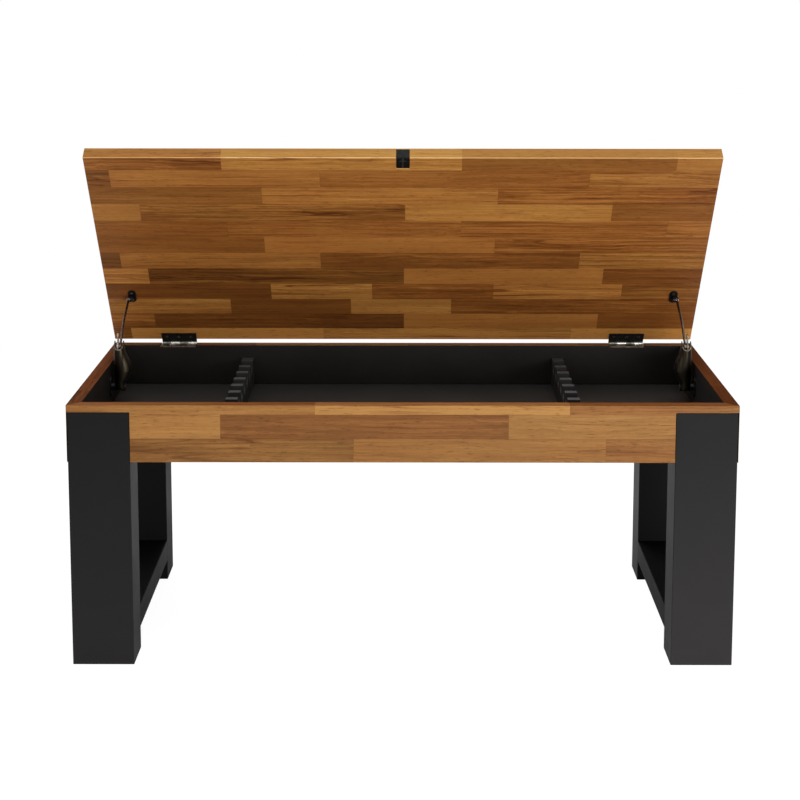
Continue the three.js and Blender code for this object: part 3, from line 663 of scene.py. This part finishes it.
def random_layout(count, half_length, seed):
    """Joints and tones for rows of staves where the photograph shows none."""
    draw = random.Random(seed)
    joints, tones = [], []
    for _ in range(count):
        places, levels = [], [draw.uniform(*RANDOM_TONES)]
        place = -half_length / MM + draw.uniform(SHORTEST_FIRST_STAVE, LONGEST_STAVE)
        while place < half_length / MM - SHORTEST_LAST_STAVE:
            places.append(place)
            levels.append(draw.uniform(*RANDOM_TONES))
            place += draw.uniform(SHORTEST_STAVE, LONGEST_STAVE)
        joints.append(places)
        tones.append(levels)
    return joints, tones


def split_by_plane(mesh, faces, point, normal):
    geometry = dict.fromkeys(faces)
    for face in faces:
        geometry.update(dict.fromkeys([*face.edges, *face.verts]))
    bmesh.ops.bisect_plane(mesh, geom=list(geometry), plane_co=point, plane_no=normal, dist=CUT_TOLERANCE)


def row_of(board, face):
    """The number of the row that a face lies in. What lies past the last row belongs to it."""
    v = board.place(face.calc_center_median()).y
    for index, (_, high, _) in enumerate(board.rows):
        if v < high:
            return index
    return len(board.rows) - 1


def cut_staves(mesh, board):
    """Cuts the mesh's surface along the glue lines and writes each stave's place, tone and seed on it."""
    for low, _, _ in board.rows[1:]:
        split_by_plane(mesh, mesh.faces[:], board.point(0, low), board.across)
    for index, (_, _, staves) in enumerate(board.rows):
        for low, _, _, _ in staves[1:]:
            faces = [f for f in mesh.faces if row_of(board, f) == index]
            split_by_plane(mesh, faces, board.point(low, 0), board.along)
    grain = mesh.verts.layers.float_vector.new("grain")
    stave_layer = mesh.faces.layers.float_vector.new("stave")
    low_layer = mesh.faces.layers.float_vector.new("stave_low")
    high_layer = mesh.faces.layers.float_vector.new("stave_high")
    for vertex in mesh.verts:
        vertex[grain] = board.place(vertex.co)
    for face in mesh.faces:
        v_low, v_high, staves = board.rows[row_of(board, face)]
        u = board.place(face.calc_center_median()).x
        u_low, u_high, tone, seed = next((stave for stave in staves if u < stave[1]), staves[-1])
        first, last = staves[0][0], staves[-1][1]
        face[stave_layer] = (tone, seed, 0)
        face[low_layer] = (u_low if u_low > first else u_low - BEYOND_END, v_low, 0)
        face[high_layer] = (u_high if u_high < last else u_high + BEYOND_END, v_high, 0)


def board_piece(node_name, name, board, ease, finishes, choose):
    """A staved board made from its CAD node."""
    mesh = clean_mesh(node_name)
    ease_edges(mesh, ease)
    bmesh.ops.triangulate(mesh, faces=mesh.faces)
    cut_staves(mesh, board)
    finish_faces(mesh, choose)
    replace_node(node_name, name, mesh, "stave_wood", finishes)


# Lid
# Rows are counted from the front edge, and their widths and joints are in millimetres. A tone is 0 for the
# darkest stave and 1 for the lightest.
LID_ROW_WIDTHS = [28.5] + [39.7] * 10 + [31.5]
LID_JOINTS = [
    [-304, 99, 458],
    [-494, -140, 315],
    [-240, 162],
    [-451, 4, 359],
    [-304, 101, 458],
    [-242, 161],
    [-499, -145, 312],
    [-453, 2, 357],
    [-237, -55, 163, 394],
    [-312, -94, 88],
    [-454, 2, 357],
    [-501, -146, 310],
]
# The rows nearer the hinge have raised tones, as painted light where the box keeps light from them.
LID_TONES = [
    [0.39, 0.7, 0.42, 0.6],
    [0.3, 0.6, 0.45, 0.55],
    [0.4, 0.65, 0.42],
    [0.65, 0.45, 0.75, 0.4],
    [0.4, 0.5, 0.5, 0.6],
    [0.4, 0.65, 0.45],
    [0.15, 0.55, 0.3, 0.55],
    [0.65, 0.25, 0.65, 0.3],
    [0.2, 0.65, 0.35, 0.7, 0.4],
    [0.6, 0.25, 0.7, 0.3],
    [0.45, 0.2, 0.65, 0.35],
    [0.45, 1.0, 0.85, 1.0],
]
LID_GRAIN_SEED = 5
LID_EASE = 0.35 * MM
# How far a face's normal leans to a side where the face belongs to the front arris, the front edge or an end
LID_ARRIS_LEAN = 0.3
LID_EDGE_LEAN = 0.5
LID_END_LEAN = 0.8

lid_joint = next(j for j in frame["joints"] if j["name"] == "lid_hinge")
OPEN_ANGLE = math.radians(lid_joint["range_deg"][1])


def lid_directions():
    """The open lid's direction from its front edge to its hinge edge, and the way its underside faces."""
    turn = Matrix.Rotation(-OPEN_ANGLE, 3, "X")
    return turn @ Vector((0, 1, 0)), turn @ Vector((0, 0, -1))


def span(node_name, direction):
    """How far a node reaches along a direction."""
    reaches = [v.co.dot(direction) for v in frame["nodes"][node_name].data.vertices]
    return min(reaches), max(reaches)


def add_lid():
    to_hinge, underside = lid_directions()
    low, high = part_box("lid_panel")
    rows = stave_rows(LID_ROW_WIDTHS, LID_JOINTS, LID_TONES, (high.x - low.x) / 2, LID_GRAIN_SEED)
    front_edge = to_hinge * span("lid_panel", to_hinge)[0] + underside * span("lid_panel", underside)[1]
    board = Board(front_edge, ALONG_X, to_hinge, rows)

    def choose(normal, middle):
        forward = -normal.dot(to_hinge)
        if forward > LID_ARRIS_LEAN and normal.dot(underside) > LID_ARRIS_LEAN:
            return 3
        if forward > LID_EDGE_LEAN:
            return 2
        return 1 if abs(normal.x) > LID_END_LEAN else 0

    # The front edge and its arris get lighter copies of the lid wood, as painted light and a painted
    # highlight.
    finishes = ["lid_wood", "lid_ends", "lid_edge", "lid_arris"]
    board_piece("lid_panel", "lid_boards", board, LID_EASE, finishes, choose)


# Box
# Rows are counted from the rim down.
BOX_ROW_WIDTHS = [15, 39.3, 38.7]
APRON_JOINTS = [[-139, 265], [-289, 168], [-78, 323]]
APRON_TONES = [[0.62, 0.98, 0.5], [0.78, 0.35, 0.65], [0.45, 0.6, 0.5]]
BOX_EASE = 0.6 * MM
BOX_FACE_LEAN = 0.6
BARE_RIM_DEPTH = 0.5 * MM
FLOOR_EASE = 0.4 * MM
# Each wall: its node, its piece, the way its staves run, the way to the inside, the seeds of its joints and
# of its grain, and the finishes of its rim and its inside. The front apron has the photograph's joints.
BOX_WALLS = [
    ("front_apron", "front_apron_boards", ALONG_X, ALONG_Y, None, 21, "end_rim_wood", "inside_paint"),
    ("rear_apron", "rear_apron_boards", ALONG_X, -ALONG_Y, 11, 22, "rear_rim_wood", "inside_paint"),
    ("left_side_board", "left_side_boards", ALONG_Y, ALONG_X, 31, 41, "side_rim_wood", "inside_paint"),
    # The right side's inside has the lighter rack paint, as painted light on that wall.
    ("right_side_board", "right_side_boards", ALONG_Y, -ALONG_X, 32, 42, "side_rim_wood", "rack_paint"),
]


def add_box_wall(node_name, name, along, inward, joint_seed, grain_seed, rim, inside):
    low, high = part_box(node_name)
    half = (high - low).dot(along) / 2
    joints, tones = APRON_JOINTS, APRON_TONES
    if joint_seed is not None:
        joints, tones = random_layout(len(BOX_ROW_WIDTHS), half, joint_seed)
    rows = stave_rows(BOX_ROW_WIDTHS, joints, tones, half, grain_seed)
    origin = Vector((low.x, low.y, high.z)) + along * half
    board = Board(origin, along, -UP, rows)

    def choose(normal, middle):
        if normal.dot(inward) > BOX_FACE_LEAN and middle.z < high.z - BARE_RIM_DEPTH:
            return 2
        return 1 if normal.z > BOX_FACE_LEAN else 0

    board_piece(node_name, name, board, BOX_EASE, ["box_wood", rim, inside], choose)


# Pieces that keep their CAD shape, with their edges eased
PLATE_EASE = 0.3 * MM
PLATE_RIB_RISE = 0.2 * MM
PLATE_HIGHLIGHT_EDGE = 1.6 * MM
PLATE_FACE_LEAN = 0.9
RACK_EASE = 0.8 * MM
RACK_LIGHTER_DEPTH = 6 * MM
RACK_FACE_LEAN = 0.5
LEG_EASE = 0.35 * MM
LEG_FACE_LEAN = 0.7
# The right front leg, and the rear right leg's inner side, have the lighter paint, as painted light.
FRONT_LEG_PAINTS = {"left": "leg_paint", "right": "dusty_paint"}
REAR_LEG_INNER_PAINTS = {"left": "shaded_paint", "right": "dusty_paint"}
STEEL_EASE = 0.2 * MM
PIN_EASE = 0.15 * MM
# A little more than the radius of the hinges' knuckles
KNUCKLE_REACH = 3.6 * MM


def add_front_plate():
    """The plate's raised ribs and its upper edge are painted lighter, as painted highlights."""
    name = "lid_front_plate"
    to_hinge, underside = lid_directions()
    outward = -to_hinge
    face_reach = span(name, outward)[1]
    back_reach, under_reach = span(name, underside)

    def choose(normal, middle):
        if normal.dot(underside) > PLATE_FACE_LEAN:
            return 1 if middle.dot(underside) > under_reach - PLATE_RIB_RISE else 0
        if normal.dot(outward) > PLATE_FACE_LEAN and middle.dot(outward) > face_reach - PLATE_RIB_RISE:
            return 1 if middle.dot(underside) < back_reach + PLATE_HIGHLIGHT_EDGE else 0
        return 0

    finishes = ["plate_steel", "worn_steel"]
    eased_piece(name, f"{name}_pressing", PLATE_EASE, "bronzed_steel", *finishes, choose=choose)


def add_rack(side):
    """The teeth's tops are painted lighter, partly as wear and partly as a painted highlight."""
    name = f"{side}_rack"
    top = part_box(name)[1].z

    def choose(normal, middle):
        return 1 if normal.z > RACK_FACE_LEAN and middle.z > top - RACK_LIGHTER_DEPTH else 0

    eased_piece(name, f"{name}_board", RACK_EASE, "inside_paint", "rack_paint", "rubbed_paint", choose=choose)


def add_base(side):
    """A stretcher with painted shade on its top, and its legs, with painted light on the right ones."""

    def add(name, ending, *paints, choose=None):
        eased_piece(name, f"{name}_{ending}", LEG_EASE, "black_painted_wood", *paints, choose=choose)

    # The stretcher's top gets the darker paint, as painted shade.
    add(f"{side}_stretcher", "rail", "shaded_paint", "deep_paint", choose=facing(UP, LEG_FACE_LEAN))
    add(f"front_{side}_leg", "post", FRONT_LEG_PAINTS[side])
    paints = ["shaded_paint", REAR_LEG_INNER_PAINTS[side]]
    add(f"rear_{side}_leg", "post", *paints, choose=facing(-ALONG_X, LEG_FACE_LEAN))


def add_hinge(side):
    """The leaves are dull, and their knuckles are painted brighter, as painted highlights."""
    axis = Vector(lid_joint["pos_m"])

    def choose(normal, middle):
        from_axis = Vector((middle.y - axis.y, middle.z - axis.z)).length
        return 1 if from_axis < KNUCKLE_REACH else 0

    name = f"{side}_hinge_lid_leaf"
    finishes = ["leaf_steel", "barrel_steel"]
    eased_piece(name, f"{name}_plate", STEEL_EASE, "bronzed_steel", *finishes, choose=choose)
    name = f"{side}_hinge_box_leaf"
    finishes = ["leaf_brass", "hinge_brass"]
    eased_piece(name, f"{name}_plate", STEEL_EASE, "hinge_brass", *finishes, choose=choose)
    name = f"{side}_hinge_pin"
    eased_piece(name, f"{name}_rod", STEEL_EASE, "hinge_brass", "hinge_brass")


# Lid stays
# Where the arm's bright tip and the housing's rim begin, as shares of the way from lower pivot to elbow
ARM_BRIGHT_FROM = 0.9
HOUSING_RIM_FROM = 0.8
HOUSING_RIM_LEAN = 0.5
# The arm's tips are painted lighter than its part inside the housing, the left one most, as painted light.
ARM_TIP_FINISHES = {"left": "bright_plating", "right": "worn_bronze"}
# How far the housing's belly drops, as a share of that way, and how far what lies behind the lower pivot is
# drawn in, as a share of its distance
HOUSING_BELLY_DROP = 0.13
HOUSING_BELLY_TRIM = 0.06
HOUSING_BELLY_CUTS = 12
# In degrees
HOUSING_FLAT_TURN = 0.3
HOUSING_EASE = 0.25 * MM
# The stay's other pieces: the node, the piece, how far its edges are eased, its slot and its finish
STAY_PIECES = [
    ("bracket", "bracket_plate", STEEL_EASE, "black_steel", "black_steel"),
    ("lower_pin", "lower_rivet", STEEL_EASE, "bright_plating", "screw_steel"),
    ("rod", "rod_bar", STEEL_EASE, "bronzed_steel", "rod_steel"),
    # The elbow pin has the duller screw finish, as painted shade inside the housing's mouth.
    ("elbow_pin", "elbow_rivet", PIN_EASE, "bright_plating", "screw_steel"),
    ("lid_mount", "lid_mount_plate", STEEL_EASE, "black_steel", "black_steel"),
    ("upper_pin", "upper_rivet", PIN_EASE, "bright_plating", "bright_plating"),
]


def middle_of(node_name):
    low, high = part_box(node_name)
    return (low + high) / 2


def along_arm(side):
    """The lower pivot of a stay, the length from it to the elbow, and the direction between them."""
    foot = middle_of(f"{side}_stay_lower_pin")
    reach = middle_of(f"{side}_stay_elbow_pin") - foot
    reach.x = 0
    return foot, reach.length, reach.normalized()


def add_stay_arm(side):
    """The arm is painted brighter outside its housing, the left one most, and darker inside, as painted light
    and shade.
    """
    name = f"{side}_stay_arm"
    foot, length, along = along_arm(side)
    mesh = clean_mesh(name)
    ease_edges(mesh, STEEL_EASE)
    split_by_plane(mesh, mesh.faces[:], foot + along * (length * ARM_BRIGHT_FROM), along)

    def choose(normal, middle):
        return 0 if (middle - foot).dot(along) / length > ARM_BRIGHT_FROM else 1

    finish_faces(mesh, choose)
    replace_node(name, f"{name}_bar", mesh, "bright_plating", [ARM_TIP_FINISHES[side], "rod_steel"])


def add_stay_housing(side):
    """The shell is fullest a little below its middle, and its rim is painted bright, as a painted highlight.
    """
    name = f"{side}_stay_housing"
    foot, length, along = along_arm(side)
    mesh = clean_mesh(name)
    for k in range(1, HOUSING_BELLY_CUTS):
        split_by_plane(mesh, mesh.faces[:], foot + along * (length * k / HOUSING_BELLY_CUTS), along)
    bmesh.ops.triangulate(mesh, faces=mesh.faces)
    for vertex in mesh.verts:
        share = (vertex.co - foot).dot(along) / length
        behind = vertex.co.y - foot.y
        if 0 < share < 1:
            vertex.co -= along * (HOUSING_BELLY_DROP * length * math.sin(math.pi * share))
            vertex.co.y -= HOUSING_BELLY_TRIM * max(0.0, behind)
    flat_turn = math.radians(HOUSING_FLAT_TURN)
    bmesh.ops.dissolve_limit(mesh, angle_limit=flat_turn, verts=mesh.verts, edges=mesh.edges)
    ease_edges(mesh, HOUSING_EASE)

    def choose(normal, middle):
        share = (middle - foot).dot(along) / length
        return 1 if share > HOUSING_RIM_FROM and normal.dot(along) > HOUSING_RIM_LEAN else 0

    finish_faces(mesh, choose)
    replace_node(name, f"{name}_shell", mesh, "bronzed_steel", ["bronzed_steel", "worn_bronze"])


def add_stay(side):
    add_stay_housing(side)
    add_stay_arm(side)
    for node_end, piece_end, ease, slot, finish in STAY_PIECES:
        eased_piece(f"{side}_stay_{node_end}", f"{side}_stay_{piece_end}", ease, slot, finish)


# Screws
SCREW_SEGMENTS = 24
# Shares of the head's radius
CROSS_CORE_SHARE = 0.3
CROSS_REACH_SHARE = 0.55
CROSS_DEPTH_SHARE = 0.4
HEAD_RING_SHARES = (0.2, 0.36, CROSS_REACH_SHARE, 0.6, 0.82, 0.95, 1.0)
CONE_FOOT_SHARE = 0.5
CONE_DEPTH_SHARE = 0.4
# How far round the head an arm of the cross is wide, as the sine of twice the angle from its middle
CROSS_ARM_SINE = 0.2

LEAF_GAP = 0.5 * MM
FLUSH_HEAD_RADIUS = 3.15 * MM
LID_LEAF_SCREW_PITCH = 22.5 * MM
LID_LEAF_SCREW_FROM_EDGE = 8.2 * MM
BOX_LEAF_SCREW_PITCH = 31 * MM
BOX_LEAF_SCREW_FROM_EDGE = 10.5 * MM
MOUNT_SCREW_PITCH = 17 * MM
MOUNT_THICKNESS = 1.8 * MM
BRACKET_SCREW_PITCH = 24 * MM
BRACKET_THICKNESS = 2.2 * MM
PAN_HEAD_RADIUS = 2.7 * MM
PAN_HEAD_DOME = 1.1 * MM


def circle(radius):
    """Points round a circle, each with its angle."""
    for k in range(SCREW_SEGMENTS):
        angle = 2 * math.pi * k / SCREW_SEGMENTS
        yield angle, radius * math.cos(angle), radius * math.sin(angle)


def add_screw(mesh, middle, outward, radius, dome):
    """A screw's head with a cross recess, and the cone under it. A dome of zero gives a flush head."""
    turn = outward.to_track_quat("Z", "Y").to_matrix()
    rings = []
    for share in HEAD_RING_SHARES:
        ring = []
        for angle, x, y in circle(radius * share):
            in_arm = abs(math.sin(2 * angle)) < CROSS_ARM_SINE
            in_cross = share <= CROSS_REACH_SHARE and (share < CROSS_CORE_SHARE or in_arm)
            height = dome * (1 - share * share) - (CROSS_DEPTH_SHARE * radius if in_cross else 0)
            ring.append(mesh.verts.new(middle + turn @ Vector((x, y, height))))
        rings.append(ring)
    foot = []
    for _, x, y in circle(CONE_FOOT_SHARE * radius):
        foot.append(mesh.verts.new(middle + turn @ Vector((x, y, -CONE_DEPTH_SHARE * radius))))
    rings.append(foot)
    for inner, outer in zip(rings, rings[1:]):
        for k in range(SCREW_SEGMENTS):
            n = (k + 1) % SCREW_SEGMENTS
            mesh.faces.new((inner[k], outer[k], outer[n], inner[n]))
    mesh.faces.new(rings[0])
    mesh.faces.new(list(reversed(foot)))


def add_screws(name, places, outward, radius, body, slot, finish, dome=0.0):
    mesh = bmesh.new()
    for place in places:
        add_screw(mesh, place, outward, radius, dome)
    bmesh.ops.recalc_face_normals(mesh, faces=mesh.faces)
    add_piece(name, mesh, body, slot, [finish])


def in_line(middle, direction, pitch, count):
    """Places spread evenly along a direction about their middle."""
    return [middle + direction * (pitch * (k - (count - 1) / 2)) for k in range(count)]


def add_hinge_screws(side):
    to_hinge, underside = lid_directions()
    axis = Vector(lid_joint["pos_m"])
    leaf = f"{side}_hinge_lid_leaf"
    along = span(leaf, to_hinge)[0] + LID_LEAF_SCREW_FROM_EDGE
    height = axis.dot(underside) - LEAF_GAP / 2
    middle = ALONG_X * middle_of(leaf).x + to_hinge * along + underside * height
    places = in_line(middle, ALONG_X, LID_LEAF_SCREW_PITCH, 3)
    add_screws(f"{leaf}_screws", places, underside, FLUSH_HEAD_RADIUS, "lid", "bronzed_steel", "screw_steel")

    leaf = f"{side}_hinge_box_leaf"
    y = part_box(leaf)[0].y + BOX_LEAF_SCREW_FROM_EDGE
    middle = Vector((middle_of(leaf).x, y, axis.z - LEAF_GAP / 2))
    places = in_line(middle, ALONG_X, BOX_LEAF_SCREW_PITCH, 2)
    add_screws(f"{leaf}_screws", places, UP, FLUSH_HEAD_RADIUS, "root", "hinge_brass", "hinge_brass")


def add_stay_screws(side):
    to_hinge, underside = lid_directions()
    mount = f"{side}_stay_lid_mount"
    along = sum(span(mount, to_hinge)) / 2
    height = span(mount, underside)[0] + MOUNT_THICKNESS
    middle = ALONG_X * middle_of(mount).x + to_hinge * along + underside * height
    places = in_line(middle, to_hinge, MOUNT_SCREW_PITCH, 2)
    finishes = ["bright_plating", "screw_steel"]
    add_screws(f"{mount}_screws", places, underside, FLUSH_HEAD_RADIUS, "lid", *finishes)

    bracket = f"{side}_stay_bracket"
    low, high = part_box(bracket)
    back, inward = (low.x, ALONG_X) if side == "left" else (high.x, -ALONG_X)
    middle = middle_of(bracket)
    middle.x = back + inward.x * BRACKET_THICKNESS
    places = in_line(middle, UP, BRACKET_SCREW_PITCH, 2)
    add_screws(f"{bracket}_screws", places, inward, PAN_HEAD_RADIUS, "root", *finishes, dome=PAN_HEAD_DOME)


# Floor and world
STAGE_SIZE = 240.0
STAGE_CELLS = 6
# The floor lies this far under the feet, so that the two surfaces aren't in the same plane.
STAGE_DROP = 0.1 * MM
STAGE_COLOUR = (0.9, 0.9, 0.9, 1)
STAGE_ROUGHNESS = 0.9
# In the picture and in reflections, the floor near the bench glows and also shows a share of the light on it.
SEEN_GLOW = 0.96
SEEN_LIT_SHARE = 0.16
REFLECTED_GLOW = 0.15
REFLECTED_LIT_SHARE = 0.9
# It turns plain white between these distances from the bench's middle.
LIT_NEAR = 0.9
LIT_FAR = 2.4
# The strength of the world's own light
AMBIENT = 0.22


def camera_rays(tree):
    """1 for the rays that show the background in the picture itself."""
    return node(tree, "LightPath", {}).outputs["Is Camera Ray"]


def mirror_rays(tree):
    """1 for the rays that show the background in metal, in gloss and in glass."""
    path = node(tree, "LightPath", {})
    return math_node(tree, "MAXIMUM", path.outputs["Is Glossy Ray"], path.outputs["Is Transmission Ray"])


def mix_shader(tree, factor, first, second):
    return node(tree, "MixShader", {0: factor, 1: first, 2: second}).outputs[0]


def emission(tree, strength):
    return node(tree, "Emission", {"Color": WHITE, "Strength": strength}).outputs[0]


def stage_white():
    """The floor's material, which keeps a share of the bench's shadow round its feet."""
    material, tree, shader = new_material("floor_white")
    shader.inputs["Base Color"].default_value = STAGE_COLOUR
    shader.inputs["Roughness"].default_value = STAGE_ROUGHNESS
    shader.inputs["Specular IOR Level"].default_value = 0.0
    place = node(tree, "NewGeometry", {}).outputs["Position"]
    from_middle = node(tree, "VectorMath", {0: place}, operation="LENGTH").outputs["Value"]
    far = map_range(tree, from_middle, LIT_NEAR, LIT_FAR)
    white = emission(tree, 1.0)

    def look(glow, lit_share):
        """White far from the bench, and near it a glow plus a share of the light that falls there."""
        lit = node(tree, "BsdfDiffuse", {"Color": (lit_share, lit_share, lit_share, 1)}).outputs[0]
        near = node(tree, "AddShader", {0: emission(tree, glow), 1: lit}).outputs[0]
        return mix_shader(tree, far, near, white)

    reflected = look(REFLECTED_GLOW, REFLECTED_LIT_SHARE)
    mixed = mix_shader(tree, mirror_rays(tree), shader.outputs[0], reflected)
    mixed = mix_shader(tree, camera_rays(tree), mixed, look(SEEN_GLOW, SEEN_LIT_SHARE))
    tree.links.new(mixed, tree.nodes["Material Output"].inputs["Surface"])
    return material


def add_floor():
    mesh = bmesh.new()
    bmesh.ops.create_grid(mesh, x_segments=STAGE_CELLS, y_segments=STAGE_CELLS, size=STAGE_SIZE / 2)
    data = bpy.data.meshes.new("floor")
    mesh.to_mesh(data)
    mesh.free()
    data.materials.append(stage_white())
    floor = bpy.data.objects.new("floor", data)
    floor.location.z = -STAGE_DROP
    bpy.context.scene.collection.objects.link(floor)


def add_world():
    world = bpy.data.worlds.new("studio")
    world.use_nodes = True
    tree = world.node_tree
    tree.nodes.clear()
    shown = node(tree, "Background", {"Color": WHITE, "Strength": 1.0}).outputs[0]
    soft = node(tree, "Background", {"Color": WHITE, "Strength": AMBIENT}).outputs[0]
    background = math_node(tree, "MAXIMUM", camera_rays(tree), mirror_rays(tree))
    output = node(tree, "OutputWorld", {})
    tree.links.new(mix_shader(tree, background, soft, shown), output.inputs["Surface"])
    bpy.context.scene.world = world


# Lamps
# Each lamp: where it stands, what it faces, its width and height in metres, and its power in watts
LAMPS = {
    "right_softbox": ((1.6, -2.9, 0.5), (0, 0, 0.5), (1.6, 0.9), 62),
    "left_softbox": ((-1.6, -2.9, 0.5), (0, 0, 0.5), (1.6, 0.9), 9),
    "rear_softbox": ((-1.0, 2.5, 2.4), (0, 0, 0.4), (2.0, 1.2), 42),
    "top_softbox": ((0.2, -0.7, 3.0), (0, 0, 0.4), (2.6, 1.8), 48),
}


def add_lamp(name, place, target, size, power):
    data = bpy.data.lights.new(name, "AREA")
    data.shape = "RECTANGLE"
    data.size, data.size_y = size
    data.energy = power
    lamp = bpy.data.objects.new(name, data)
    direction = Vector(target) - Vector(place)
    lamp.matrix_world = Matrix.Translation(place) @ direction.to_track_quat("-Z", "Y").to_matrix().to_4x4()
    bpy.context.scene.collection.objects.link(lamp)


add_camera()
add_floor()
add_world()
for lamp_name, lamp in LAMPS.items():
    add_lamp(lamp_name, *lamp)
add_lid()
for wall in BOX_WALLS:
    add_box_wall(*wall)
# The box's floor has the lighter floor paint, as painted light.
eased_piece("floor_panel", "floor_board", FLOOR_EASE, "inside_paint", "floor_paint")
add_front_plate()
for side in SIDES:
    add_rack(side)
    add_base(side)
    add_hinge(side)
    add_stay(side)
for side in SIDES:
    add_hinge_screws(side)
    add_stay_screws(side)
bpy.context.scene.view_settings.view_transform = "Standard"
